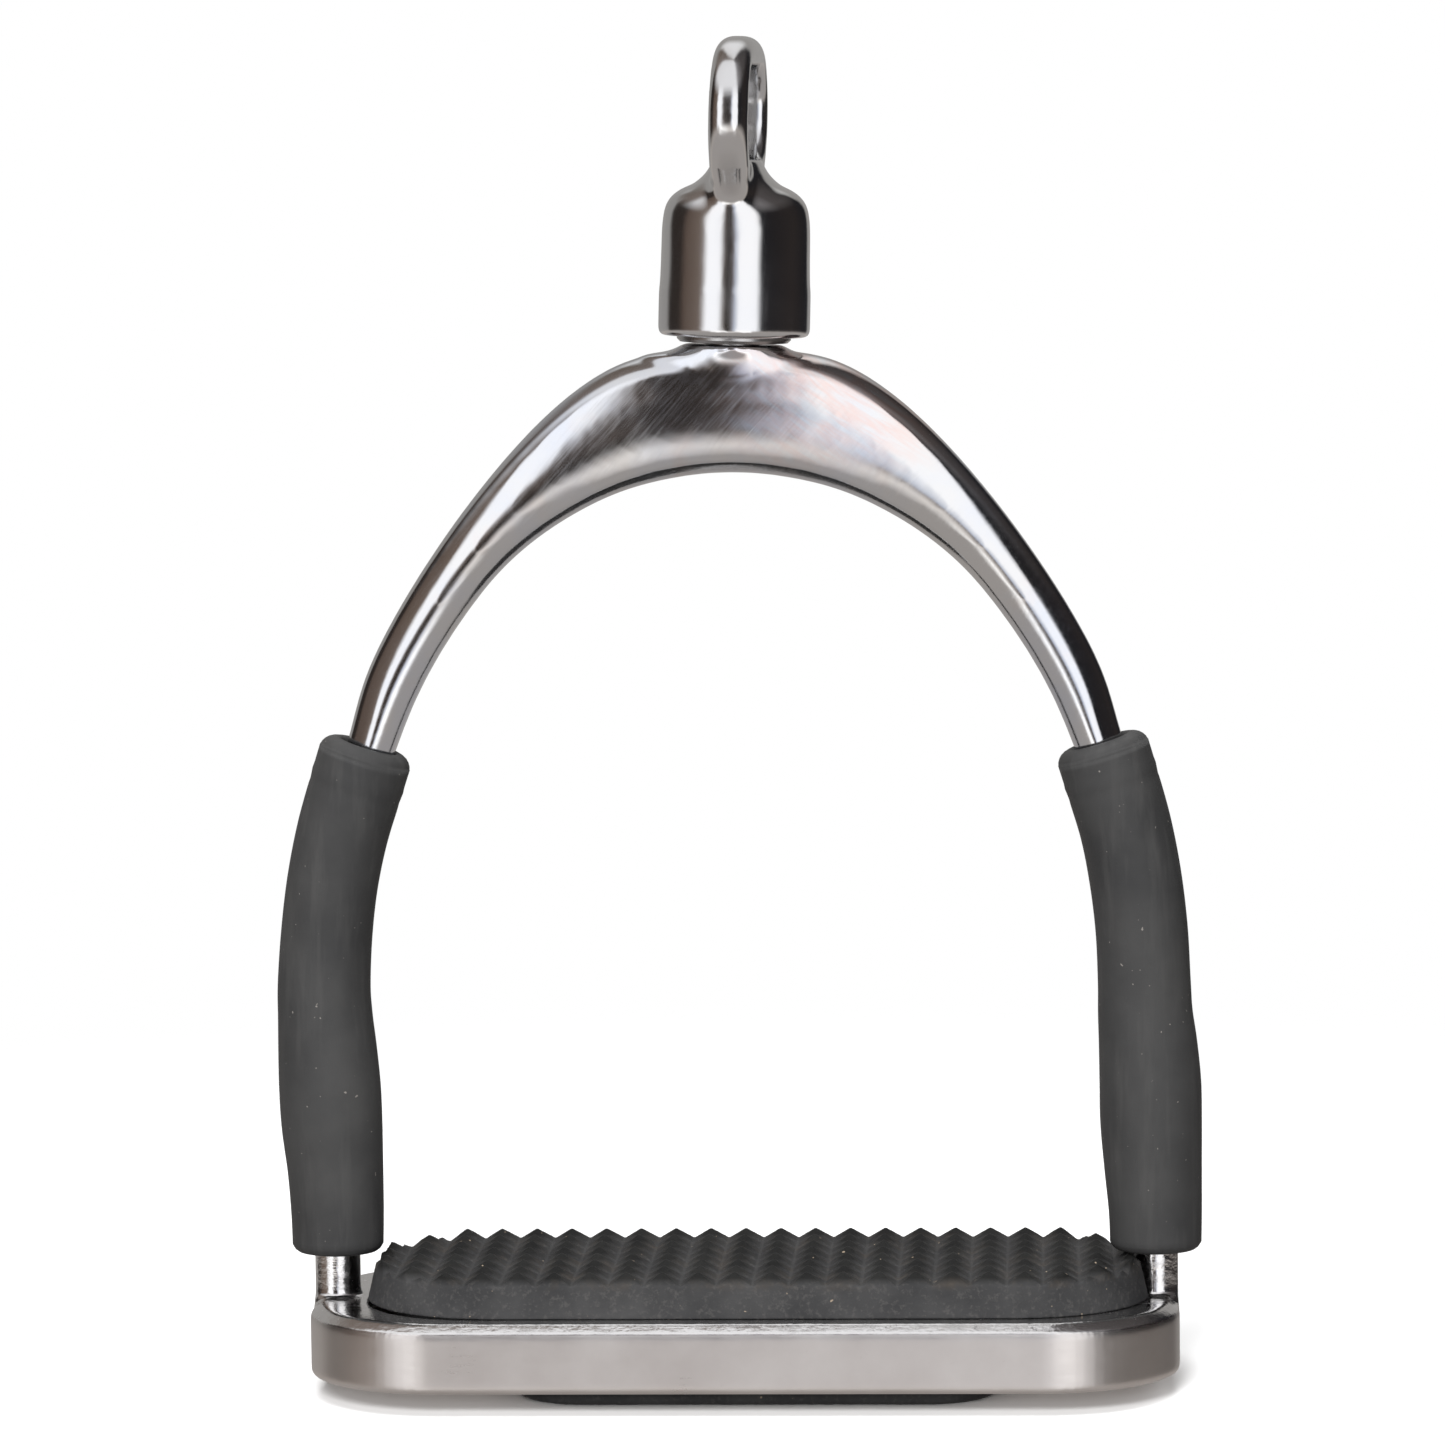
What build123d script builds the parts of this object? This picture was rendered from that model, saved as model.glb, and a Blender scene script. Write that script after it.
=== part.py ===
"""Double-jointed stirrup iron with a swivelling top eye.

Frame: +X runs along the tread's width, +Y fore and aft, +Z up. The origin is on
the ground under the middle of the tread, where the pad's retaining lip rests.
All sizes are millimetres. Heights below are counted from a datum LIFT above the
ground, and every finished part is raised by LIFT on export.

The iron comes apart into: a cast tread frame with two short posts, a studded
rubber tread pad, two riveted pairs of link plates (one pair a side), a cast
arch, a headed swivel stud, a thrust washer, a closing disc, a swivel eye, and
two rubber sleeves that cover the side joints.
"""
from build123d import *
import math
import os

os.makedirs("parts", exist_ok=True)

# ---------------------------------------------------------------- dimensions
LIFT = 1.1                                        # ground to the height datum

# tread frame
FRAME_L, FRAME_W, FRAME_R = 135.0, 54.2, 21.0     # plan size and corner radius
FRAME_Z0, FRAME_Z1 = 2.3, 13.1                    # underside and top
BEVEL_IN, BEVEL_DOWN = 1.8, 1.5                   # bevel round the top rim
FOOT_ROUND = 0.6                                  # rounding of the bottom edge
WEB_TOP = 7.2                                     # floor that the pad sits on
WEB_UNDER = 3.3                                   # floor's underside
WINDOW_L, WINDOW_W, WINDOW_R = 66.2, 20.4, 8.0    # opening for the pad's plug

# tread pad
PAD_PITCH = 5.55                                  # stud pitch both ways
PAD_COLS, PAD_ROWS = 22, 8
PAD_R = 20.5
PAD_DRAFT_X, PAD_DRAFT_Y = 1.7, 0.5               # how far the wall leans in, bottom to tips
PAD_VALLEY, PAD_PEAK = 18.05, 20.1                # stud roots and tips
PAD_BODY_L, PAD_BODY_W, PAD_BODY_R = 112.6, 42.4, 17.0   # part that sinks into the recess
PAD_GAP, PAD_PLAY = 0.35, 2.25                    # its clearance fore-aft and sideways
PAD_SHIFT = 2.0                                   # where the loose pad has settled
PLUG_L, PLUG_W, PLUG_R = 61.6, 20.0, 7.8          # plug through the window
LIP_L, LIP_W, LIP_R = 75.0, 37.0, 11.0             # lip under the floor

# side posts, hinges and link plates
SIDE_X = 63.9                                     # post, hinge and leg axis
POST_R = 3.6
PIN_LO, PIN_HI = 37.0, 53.0                       # the two hinge axes
TONGUE_T = 3.2                                    # tongue thickness along X
PLATE_T, PLATE_R = 1.7, 3.7
LINK_X, ARCH_X = -0.45, -0.9                      # how far links and arch have slid along the pins
SIDE_PLAY = 0.50                                  # tongue to plate, each side
PIN_R, PIN_RUN = 2.0, 0.05                        # rivet shank, running clearance
PIN_SNUG = 0.01
HEAD_R, HEAD_H = 2.7, 0.8
SHOULDER = 4.4                                    # hinge axis to the shoulder

# rubber sleeves
SLEEVE_Z0 = 20.0
SLEEVE_ROUND = 1.5                                # rounding of the sleeve's rims
SLEEVE_STEP = 6.0                                 # spacing of the sleeve's sections
SLEEVE_BORE_JOINT = 5.7                           # room round the link plates

# swivel; the head stands a little out of true with the arch
LEAN, LEAN_Z = 1.8, 140.0
NECK_TOP = 161.2
NECK_RINGS = [                                    # (z, half width, half depth)
    (148.0, 12.0, 5.5),
    (153.0, 14.5, 5.8),
    (156.6, 16.2, 6.05),
    (158.6, 15.0, 6.15),
    (159.7, 11.3, 6.35),
    (160.5, 8.8, 6.6),
    (161.2, 7.5, 6.8),
]
STUD_R, STUD_FOOT = 4.0, 148.5
STUD_HEAD_R, STUD_HEAD_Z0, STUD_HEAD_Z1 = 7.0, 165.5, 168.6
DISC_R, DISC_Z0, DISC_Z1 = 8.8, 161.5, 164.0
DISC_BORE = 4.08
WASHER_Z0, WASHER_Z1, WASHER_RO, WASHER_RI = 164.1, 165.4, 7.4, 4.15
BARREL_R, BARREL_Z0 = 11.7, 162.4
CAVITY_R, CAVITY_TOP = 7.8, 171.0

# eye
EYE_YAW = -3.2                                    # how the free eye stands at rest
EYE_HALF_T = 3.05
SLOT_W, SLOT_Z0, SLOT_Z1, SLOT_R = 27.0, 189.6, 203.9, 6.4
LOOP_ROUND, SLOT_ROUND = 2.4, 1.3                 # rounding of the loop's bar, outside and in
EYE_TOP = 208.4
ROOT_RINGS = [                                    # (z, half thickness, half width fore and aft)
    (180.2, 10.9, 10.7),
    (182.2, 10.5, 10.3),
    (184.0, 9.1, 9.8),
    (185.7, 6.7, 9.5),
    (187.4, 4.8, 9.5),
    (189.2, 3.8, 9.8),
    (191.0, 3.4, 10.2),
]

# arch centreline stations, crown to hinge, on the +X side:
# (inner x, inner z, outer x, outer z, thickness along Y)
ARCH_PAIRS = [
    (0.0, 141.6, 0.0, 160.4, 13.2),
    (10.2, 140.5, 15.2, 158.9, 12.5),
    (18.6, 138.0, 26.0, 152.6, 11.2),
    (27.6, 133.2, 35.6, 143.0, 10.0),
    (35.6, 126.7, 43.6, 133.0, 9.0),
    (42.5, 118.2, 51.0, 121.9, 8.2),
    (48.3, 108.7, 56.6, 111.6, 7.9),
]
# leg inside the sleeve: (centre x, centre z, lean from vertical in degrees, width)
LEG_STATIONS = [
    (55.2, 102.6, 20.6, 7.8),
    (57.7, 95.6, 17.8, 7.5),
    (61.2, 84.0, 12.4, 7.2),
    (63.15, 72.0, 6.6, 7.2),
    (63.9, 57.4, 0.4, 7.2),
]
ARCH_STEP = 8.5                                   # spacing of the arch's sections
# sleeve centreline and outer radius: (x, z, lean, radius)
SLEEVE_STATIONS = [
    (63.9, 21.2, 0.0, 7.15),
    (63.9, 27.5, 0.0, 7.35),
    (63.9, 35.0, 0.0, 7.75),
    (63.9, 45.0, 0.0, 7.95),
    (63.9, 54.0, 0.0, 7.7),
    (63.85, 62.0, 2.2, 7.25),
    (62.8, 75.0, 8.4, 7.2),
    (60.5, 87.6, 13.8, 7.2),
    (57.9, 96.3, 18.2, 7.35),
    (56.8, 99.6, 19.4, 7.3),
]
SLIDE_Z0, SLIDE_Z1 = 26.0, 61.0                   # where the sleeve follows the slid joint
# leg path as the sleeve's bore sees it, carried on past both ends
BORE_STATIONS = [(63.9, 50.0, 0.0, 7.2)] + LEG_STATIONS[::-1] + [(53.7, 106.4, 22.0, 8.0)]


def both(x):
    """The two sides, as (name, sign)."""
    return [("left", -x), ("right", x)]


def smooth(points, count):
    """Catmull-Rom points through the given tuples, `count` to each span."""
    ends = [tuple(2 * a - b for a, b in zip(points[0], points[1]))]
    tail = [tuple(2 * a - b for a, b in zip(points[-1], points[-2]))]
    p = ends + list(points) + tail
    found = []
    for i in range(1, len(p) - 2):
        for k in range(count):
            t = k / count
            found.append(tuple(
                0.5 * (2 * b + (c - a) * t + (2 * a - 5 * b + 4 * c - d) * t * t
                       + (3 * b - a - 3 * c + d) * t ** 3)
                for a, b, c, d in zip(p[i - 1], p[i], p[i + 1], p[i + 2])
            ))
    return found + [tuple(points[-1])]


def spaced(points, step, width=2):
    """Points along a smooth run, about `step` apart by their first two numbers."""
    fine = smooth(points, 40)
    run = [0.0]
    for a, b in zip(fine, fine[1:]):
        run.append(run[-1] + math.hypot(b[0] - a[0], b[1] - a[1]))
    total = run[-1]
    n = max(2, round(total / step))
    found, j = [], 0
    for k in range(n + 1):
        want = total * k / n
        while j < len(run) - 2 and run[j + 1] < want:
            j += 1
        f = (want - run[j]) / max(1e-9, run[j + 1] - run[j])
        found.append(tuple(a + (b - a) * f for a, b in zip(fine[j], fine[j + 1])))
    return found


def arch_stations():
    """Every section of the arch from the left leg over the crown to the right leg."""
    found = []
    for xi, zi, xo, zo, t in ARCH_PAIRS:
        w = math.hypot(xo - xi, zo - zi)
        lean = math.degrees(math.atan2(zo - zi, xo - xi))
        found.append(((xi + xo) / 2, (zi + zo) / 2, lean, w, t))
    found += [(x, z, lean, w, w) for x, z, lean, w in LEG_STATIONS]
    mirrored = [(-x, z, 180 - lean, w, t) for x, z, lean, w, t in found[1:]]
    return spaced(mirrored[::-1] + found, ARCH_STEP)


# ---------------------------------------------------------------- tread frame
with BuildPart() as tread_frame:
    with BuildSketch(Plane.XY.offset(FRAME_Z0)):
        RectangleRounded(FRAME_L, FRAME_W, FRAME_R)
    extrude(amount=FRAME_Z1 - BEVEL_DOWN - FRAME_Z0)
    fillet(tread_frame.edges().group_by(Axis.Z)[0], FOOT_ROUND)
    with BuildSketch(Plane.XY.offset(FRAME_Z1 - BEVEL_DOWN)):
        RectangleRounded(FRAME_L, FRAME_W, FRAME_R)
    with BuildSketch(Plane.XY.offset(FRAME_Z1)):
        RectangleRounded(FRAME_L - 2 * BEVEL_IN, FRAME_W - 2 * BEVEL_IN, FRAME_R - BEVEL_IN)
    loft(ruled=True)
    # recess for the pad
    with BuildSketch(Plane.XY.offset(WEB_TOP)):
        RectangleRounded(
            PAD_BODY_L + 2 * PAD_PLAY, PAD_BODY_W + 2 * PAD_GAP, PAD_BODY_R + PAD_GAP
        )
    extrude(amount=FRAME_Z1 - WEB_TOP, mode=Mode.SUBTRACT)
    # shallow relief under the floor, and the window for the pad's plug
    with BuildSketch(Plane.XY.offset(FRAME_Z0)):
        RectangleRounded(FRAME_L - 16, FRAME_W - 12, FRAME_R - 6)
    extrude(amount=WEB_UNDER - FRAME_Z0, mode=Mode.SUBTRACT)
    with BuildSketch(Plane.XY.offset(FRAME_Z0)):
        RectangleRounded(WINDOW_L, WINDOW_W, WINDOW_R)
    extrude(amount=FRAME_Z1 - FRAME_Z0, mode=Mode.SUBTRACT)
    # soften the recess's lip
    fillet(
        tread_frame.edges().group_by(Axis.Z)[-1].filter_by(
            lambda e: abs(e.center().Y) < FRAME_W / 2 - BEVEL_IN - 0.5
            and abs(e.center().X) < FRAME_L / 2 - BEVEL_IN - 0.5
        ),
        0.4,
    )

FLARE = 0.9                                       # flare at the foot of each post
FOOT_Z = FRAME_Z0 + 3.0
with BuildPart() as posts:
    for side in (-1, 1):
        # plain post with a flared foot, trimmed flush with the frame's end
        with BuildSketch(Plane.XZ) as post_profile:
            with BuildLine():
                Polyline(
                    (side * SIDE_X, FOOT_Z),
                    (side * SIDE_X + POST_R + FLARE, FOOT_Z),
                    (side * SIDE_X + POST_R + FLARE, FRAME_Z1),
                )
                ThreePointArc(
                    (side * SIDE_X + POST_R + FLARE, FRAME_Z1),
                    (side * SIDE_X + POST_R + 0.293 * FLARE, FRAME_Z1 + 0.293 * FLARE),
                    (side * SIDE_X + POST_R, FRAME_Z1 + FLARE),
                )
                Polyline(
                    (side * SIDE_X + POST_R, FRAME_Z1 + FLARE),
                    (side * SIDE_X + POST_R, PIN_LO - SHOULDER),
                    (side * SIDE_X, PIN_LO - SHOULDER),
                    (side * SIDE_X, FOOT_Z),
                )
            make_face()
        revolve(axis=Axis((side * SIDE_X, 0, 0), (0, 0, 1)))
    with BuildSketch(Plane.XY.offset(FOOT_Z)):
        RectangleRounded(FRAME_L - 0.2, FRAME_W, FRAME_R)
    extrude(amount=60, mode=Mode.INTERSECT)
    for side in (-1, 1):
        with BuildSketch(Plane.YZ.offset(side * SIDE_X - TONGUE_T / 2)):
            with Locations((0, PIN_LO - SHOULDER / 2 - 0.25)):
                Rectangle(2 * POST_R, SHOULDER + 0.5)
            with Locations((0, PIN_LO)):
                Circle(POST_R)
        extrude(amount=TONGUE_T)
        with BuildSketch(Plane.YZ.offset(side * SIDE_X - TONGUE_T)):
            with Locations((0, PIN_LO)):
                Circle(PIN_R + PIN_RUN)
        extrude(amount=2 * TONGUE_T, mode=Mode.SUBTRACT)

with BuildPart() as tread_frame_whole:
    add(tread_frame.part)
    add(posts.part)
tread_frame_whole.part.label = "tread_frame"

# ---------------------------------------------------------------- tread pad
PAD_L, PAD_W = PAD_COLS * PAD_PITCH, PAD_ROWS * PAD_PITCH
GROOVE = PAD_PEAK - PAD_VALLEY
with BuildPart() as stud_grooves:
    # V grooves between the studs, fore-and-aft and across
    top = PAD_PEAK + 0.6
    half = PAD_PITCH / 2 * (top - PAD_VALLEY) / GROOVE
    with BuildSketch(Plane.XZ.offset(-PAD_W)):
        with Locations((PAD_SHIFT, 0)):
            with GridLocations(PAD_PITCH, 1, PAD_COLS + 1, 1):
                Polygon((-half, top), (0, PAD_VALLEY), (half, top), align=None)
    extrude(amount=2 * PAD_W)
    with BuildSketch(Plane.YZ.offset(-PAD_L)):
        with GridLocations(PAD_PITCH, 1, PAD_ROWS + 1, 1):
            Polygon((-half, top), (0, PAD_VALLEY), (half, top), align=None)
    extrude(amount=2 * PAD_L)

NOTCH_X = SIDE_X - PAD_SHIFT
with BuildPart() as tread_pad:
    # studded top, its wall drawn in a little towards the studs
    with BuildSketch(Plane.XY.offset(FRAME_Z1)):
        with Locations((PAD_SHIFT, 0)):
            RectangleRounded(PAD_L, PAD_W, PAD_R)
    with BuildSketch(Plane.XY.offset(PAD_PEAK)):
        with Locations((PAD_SHIFT, 0)):
            RectangleRounded(PAD_L - 2 * PAD_DRAFT_X, PAD_W - 2 * PAD_DRAFT_Y, PAD_R - PAD_DRAFT_Y)
    loft(ruled=True)
    add(stud_grooves.part, mode=Mode.SUBTRACT)
    with BuildSketch(Plane.XY.offset(WEB_TOP)):
        with Locations((PAD_SHIFT, 0)):
            RectangleRounded(PAD_BODY_L, PAD_BODY_W, PAD_BODY_R)
    extrude(amount=FRAME_Z1 - WEB_TOP)
    # room for the posts' feet at both ends
    with BuildSketch(Plane.XY.offset(WEB_TOP - 0.5)):
        with Locations((PAD_SHIFT - NOTCH_X, 0), (PAD_SHIFT + NOTCH_X, 0)):
            Circle(POST_R + FLARE + 0.3)
    extrude(amount=PAD_PEAK - WEB_TOP + 1, mode=Mode.SUBTRACT)
    with BuildSketch(Plane.XY.offset(WEB_UNDER)):
        with Locations((PAD_SHIFT, 0)):
            RectangleRounded(PLUG_L, PLUG_W, PLUG_R)
    extrude(amount=WEB_TOP - WEB_UNDER)
    with BuildSketch(Plane.XY.offset(-LIFT)):
        with Locations((PAD_SHIFT, 0)):
            RectangleRounded(LIP_L, LIP_W, LIP_R)
    extrude(amount=WEB_UNDER + LIFT)
    fillet(tread_pad.edges().group_by(Axis.Z)[0], 1.2)
tread_pad.part.label = "tread_pad"

# ---------------------------------------------------------------- link plates and rivets
plates, rivets = {}, {}
# the domed rivet heads are slices of a ball centred on the rivet's axis
ball_r = (HEAD_H ** 2 + HEAD_R ** 2) / (2 * HEAD_H)
half_angle = math.asin(HEAD_R / ball_r) / 2
dome_x = HEAD_H - ball_r + ball_r * math.cos(half_angle)
dome_y = ball_r * math.sin(half_angle)
for name, side in both(1):
    for place, off in (("inner", -1), ("outer", 1)):
        near = side * SIDE_X + LINK_X + side * off * (TONGUE_T / 2 + SIDE_PLAY)
        x0 = near if side * off > 0 else near - PLATE_T
        with BuildPart() as plate:
            with BuildSketch(Plane.YZ.offset(x0)):
                with Locations((0, (PIN_LO + PIN_HI) / 2)):
                    SlotCenterToCenter(PIN_HI - PIN_LO, 2 * PLATE_R, rotation=90)
                with Locations((0, PIN_LO), (0, PIN_HI)):
                    Circle(PIN_R + PIN_SNUG, mode=Mode.SUBTRACT)
            extrude(amount=PLATE_T)
        plate.part.label = f"{name}_{place}_link_plate"
        plates[plate.part.label] = plate.part
    for level, z in (("lower", PIN_LO), ("upper", PIN_HI)):
        reach = TONGUE_T / 2 + SIDE_PLAY + PLATE_T
        with BuildPart() as rivet:
            with BuildSketch(Plane.XZ):
                with BuildLine():
                    cx = side * SIDE_X + LINK_X
                    Polyline(
                        (cx - reach - HEAD_H, z),
                        (cx + reach + HEAD_H, z),
                    )
                    ThreePointArc(
                        (cx + reach + HEAD_H, z),
                        (cx + reach + dome_x, z + dome_y),
                        (cx + reach, z + HEAD_R),
                    )
                    Polyline(
                        (cx + reach, z + HEAD_R),
                        (cx + reach, z + PIN_R),
                        (cx - reach, z + PIN_R),
                        (cx - reach, z + HEAD_R),
                    )
                    ThreePointArc(
                        (cx - reach, z + HEAD_R),
                        (cx - reach - dome_x, z + dome_y),
                        (cx - reach - HEAD_H, z),
                    )
                make_face()
            revolve(axis=Axis((0, 0, z), (1, 0, 0)))
        rivet.part.label = f"{name}_{level}_rivet"
        rivets[rivet.part.label] = rivet.part

# ---------------------------------------------------------------- arch
sections = []
for x, z, lean, w, t in arch_stations():
    # the plane's x runs from the opening outwards, its y across the depth
    n = (math.cos(math.radians(lean)), math.sin(math.radians(lean)))
    plane = Plane(origin=(ARCH_X + x, 0, z), x_dir=(n[0], 0, n[1]), z_dir=(n[1], 0, -n[0]))
    k = min(1.0, max(0.0, (w - 8) / 8))        # 0 in the slim legs, 1 in the crown
    flat = (0.20 + 0.07 * k) * t + 0.15        # half width of the flat facing the opening
    bev = 0.085 * w + 0.62 - 0.3 * k           # bevel's run along the section
    edge = (0.385 + 0.07 * k) * t              # half thickness where the bevel ends
    out = (0.36 + 0.075 * k) * t               # half thickness where the outer round starts
    rnd = 0.085 * w + 1.1
    with BuildSketch(plane) as section:
        with BuildLine():
            Line((-w / 2, -flat), (-w / 2, flat))
            Line((-w / 2, flat), (-w / 2 + bev, edge))
            Spline((-w / 2 + bev, edge), (0.04 * w, t / 2), (w / 2 - rnd, out))
            ThreePointArc((w / 2 - rnd, out), (w / 2, 0), (w / 2 - rnd, -out))
            Spline((w / 2 - rnd, -out), (0.04 * w, -t / 2), (-w / 2 + bev, -edge))
            Line((-w / 2 + bev, -edge), (-w / 2, -flat))
        make_face()
    sections.append(section.sketch)

def set_head(part):
    """Moves a part made on the Z axis to where the leaning head stands."""
    leaned = part.rotate(Axis((0, 0, LEAN_Z), (0, 1, 0)), LEAN)
    return leaned.translate((ARCH_X, 0, 0))


with BuildPart() as neck:
    for z, rx, ry in NECK_RINGS:
        with BuildSketch(Plane.XY.offset(z)):
            Ellipse(rx, ry)
    loft()

with BuildPart() as stud_seat:
    with BuildSketch(Plane.XY.offset(STUD_FOOT)):
        Circle(STUD_R + PIN_SNUG)
    extrude(amount=NECK_TOP - STUD_FOOT + 2)

with BuildPart() as arch:
    loft(sections=sections)
    add(set_head(neck.part))
    # hinge tongues
    for side in (-1, 1):
        with BuildSketch(Plane.YZ.offset(side * SIDE_X + ARCH_X - TONGUE_T / 2)):
            with Locations((0, PIN_HI + SHOULDER / 2 + 0.5)):
                Rectangle(2 * POST_R, SHOULDER + 1)
            with Locations((0, PIN_HI)):
                Circle(POST_R)
        extrude(amount=TONGUE_T)
        with BuildSketch(Plane.YZ.offset(side * SIDE_X + ARCH_X - TONGUE_T)):
            with Locations((0, PIN_HI)):
                Circle(PIN_R + PIN_RUN)
        extrude(amount=2 * TONGUE_T, mode=Mode.SUBTRACT)
    add(set_head(stud_seat.part), mode=Mode.SUBTRACT)
arch.part.label = "arch"

# ---------------------------------------------------------------- swivel parts
with BuildPart() as swivel_stud:
    with BuildSketch(Plane.XY.offset(STUD_FOOT)):
        Circle(STUD_R)
    extrude(amount=STUD_HEAD_Z0 - STUD_FOOT)
    with BuildSketch(Plane.XY.offset(STUD_HEAD_Z0)):
        Circle(STUD_HEAD_R)
    extrude(amount=STUD_HEAD_Z1 - STUD_HEAD_Z0)
    fillet(swivel_stud.edges().group_by(Axis.Z)[-1], 0.8)
    chamfer(swivel_stud.edges().group_by(Axis.Z)[0], 0.5)

with BuildPart() as closing_disc:
    with BuildSketch(Plane.XY.offset(DISC_Z0)):
        Circle(DISC_R - PIN_SNUG)
        Circle(DISC_BORE, mode=Mode.SUBTRACT)
    extrude(amount=DISC_Z1 - DISC_Z0)
    chamfer(closing_disc.edges().group_by(Axis.Z)[0].sort_by(SortBy.RADIUS)[-1], 0.45)

with BuildPart() as thrust_washer:
    with BuildSketch(Plane.XY.offset(WASHER_Z0)):
        Circle(WASHER_RO)
        Circle(WASHER_RI, mode=Mode.SUBTRACT)
    extrude(amount=WASHER_Z1 - WASHER_Z0)

SLOT_MID = (SLOT_Z0 + SLOT_Z1) / 2
with BuildPart() as loop:
    # loop for the stirrup leather, rounded all along
    with BuildSketch(Plane.YZ.offset(-EYE_HALF_T)):
        with BuildLine():
            Spline(
                (9.5, 180.0), (12.6, 185.6), (16.3, 190.6), (17.6, 195.8), (16.3, 201.6), (12.0, 206.3),
                (6.0, 208.15), (0, EYE_TOP), (-6.0, 208.15), (-12.0, 206.3), (-16.3, 201.6), (-17.6, 195.8),
                (-16.3, 190.6), (-12.6, 185.6), (-9.5, 180.0),
            )
            Line((-9.5, 180.0), (9.5, 180.0))
        make_face()
        with Locations((0, SLOT_MID)):
            RectangleRounded(SLOT_W, SLOT_Z1 - SLOT_Z0, SLOT_R, mode=Mode.SUBTRACT)
    extrude(amount=2 * EYE_HALF_T)
    outline_edges = loop.faces().filter_by(Axis.X).edges().filter_by(lambda e: e.length > 15)
    fillet(outline_edges, LOOP_ROUND)
    slot_edges = loop.faces().filter_by(Axis.X).edges().filter_by(lambda e: e.length < 14.5)
    fillet(slot_edges, SLOT_ROUND)

with BuildPart() as root:
    # web under the slot, which flares into the barrel's dome between the loop's legs
    for z, rx, ry in ROOT_RINGS:
        with BuildSketch(Plane.XY.offset(z)):
            Ellipse(rx, ry)
    loft()
    with BuildSketch(Plane.YZ.offset(-20)):
        with Locations((0, SLOT_MID)):
            RectangleRounded(SLOT_W, SLOT_Z1 - SLOT_Z0, SLOT_R)
    extrude(amount=40, mode=Mode.SUBTRACT)

with BuildPart() as swivel_eye:
    # bell-shaped barrel
    with BuildSketch(Plane.XZ):
        with BuildLine():
            Polyline((0, 170), (0, 186.1), (5.6, 186.0))
            Spline(
                (5.6, 186.0), (8.5, 184.9), (10.6, 183.0), (11.3, 180.4), (11.45, 176.0), (11.6, 170.0),
                (BARREL_R, 165.0),
                tangents=[(1, -0.28), (0, -1)],
            )
            Polyline((BARREL_R, 165.0), (BARREL_R, BARREL_Z0), (0, BARREL_Z0), (0, 170))
        make_face()
    revolve(axis=Axis.Z)
    add(root.part)
    add(loop.part)
    # cavity for the stud's head, closed by the disc
    with BuildSketch(Plane.XY.offset(BARREL_Z0 - 1)):
        Circle(DISC_R)
    extrude(amount=DISC_Z1 - BARREL_Z0 + 1, mode=Mode.SUBTRACT)
    with BuildSketch(Plane.XY.offset(DISC_Z1)):
        Circle(CAVITY_R)
    extrude(amount=CAVITY_TOP - DISC_Z1, mode=Mode.SUBTRACT)
    rim = swivel_eye.edges().filter_by(GeomType.CIRCLE).group_by(Axis.Z)[0].sort_by(SortBy.RADIUS)[-1]
    fillet(rim, 1.0)
eye_part = swivel_eye.part

# ---------------------------------------------------------------- rubber sleeves
sleeves = {}
for name, side in both(1):
    outer_sections, bore_sections = [], []
    for x, z, lean, r in spaced(SLEEVE_STATIONS, SLEEVE_STEP):
        a = math.radians(lean)
        f = min(1.0, max(0.0, (z - SLIDE_Z0) / (SLIDE_Z1 - SLIDE_Z0)))
        plane = Plane(
            origin=(side * x + ARCH_X * f * f * (3 - 2 * f), 0, z), x_dir=(0, 1, 0), z_dir=(-side * math.sin(a), 0, math.cos(a))
        )
        with BuildSketch(plane) as ring:
            Circle(r)
        outer_sections.append(ring.sketch)
    for x, z, lean, w in spaced(BORE_STATIONS, SLEEVE_STEP):
        a = math.radians(lean)
        plane = Plane(
            origin=(side * x + ARCH_X, 0, z), x_dir=(0, 1, 0), z_dir=(-side * math.sin(a), 0, math.cos(a))
        )
        with BuildSketch(plane) as ring:
            Circle(w / 2 + 0.42)
        bore_sections.append(ring.sketch)
    with BuildPart() as bore:
        loft(sections=bore_sections)
    with BuildPart() as sleeve:
        loft(sections=outer_sections)
        add(bore.part, mode=Mode.SUBTRACT)
        with BuildSketch(Plane.XY.offset(PIN_LO - SHOULDER - 1.2)):
            with Locations((side * SIDE_X + LINK_X, 0)):
                Circle(SLEEVE_BORE_JOINT)
        extrude(amount=PIN_HI - PIN_LO + 2 * SHOULDER + 2.4, mode=Mode.SUBTRACT)
        with BuildSketch(Plane.XY.offset(SLEEVE_Z0 - 1)):
            with Locations((side * SIDE_X, 0)):
                Circle(POST_R + 0.2)
        extrude(amount=PIN_LO - SLEEVE_Z0, mode=Mode.SUBTRACT)
        # rounded rims at both ends
        circles = sleeve.edges().filter_by(GeomType.CIRCLE)
        for end in (circles.group_by(Axis.Z)[0], circles.group_by(Axis.Z)[-1]):
            fillet(end.sort_by(SortBy.RADIUS)[-1], SLEEVE_ROUND)
    sleeve.part.label = f"{name}_sleeve"
    sleeves[sleeve.part.label] = sleeve.part

# ---------------------------------------------------------------- export
head = []
for part, label in (
    (swivel_stud.part, "swivel_stud"), (closing_disc.part, "closing_disc"),
    (thrust_washer.part, "thrust_washer"), (eye_part.rotate(Axis.Z, EYE_YAW), "swivel_eye"),
):
    placed = set_head(part)
    placed.label = label
    head.append(placed)
finished = [
    tread_frame_whole.part, tread_pad.part, arch.part, *head, *plates.values(), *rivets.values(),
    *sleeves.values(),
]
for part in finished:
    label = part.label
    part = part.translate((0, 0, LIFT))
    part.label = label
    print(part.label, len(part.solids()), part.is_valid, round(part.volume))
    export_step(part, f"parts/{part.label}.step")
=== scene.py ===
import math

import bmesh
import bpy
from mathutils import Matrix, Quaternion, Vector


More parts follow.
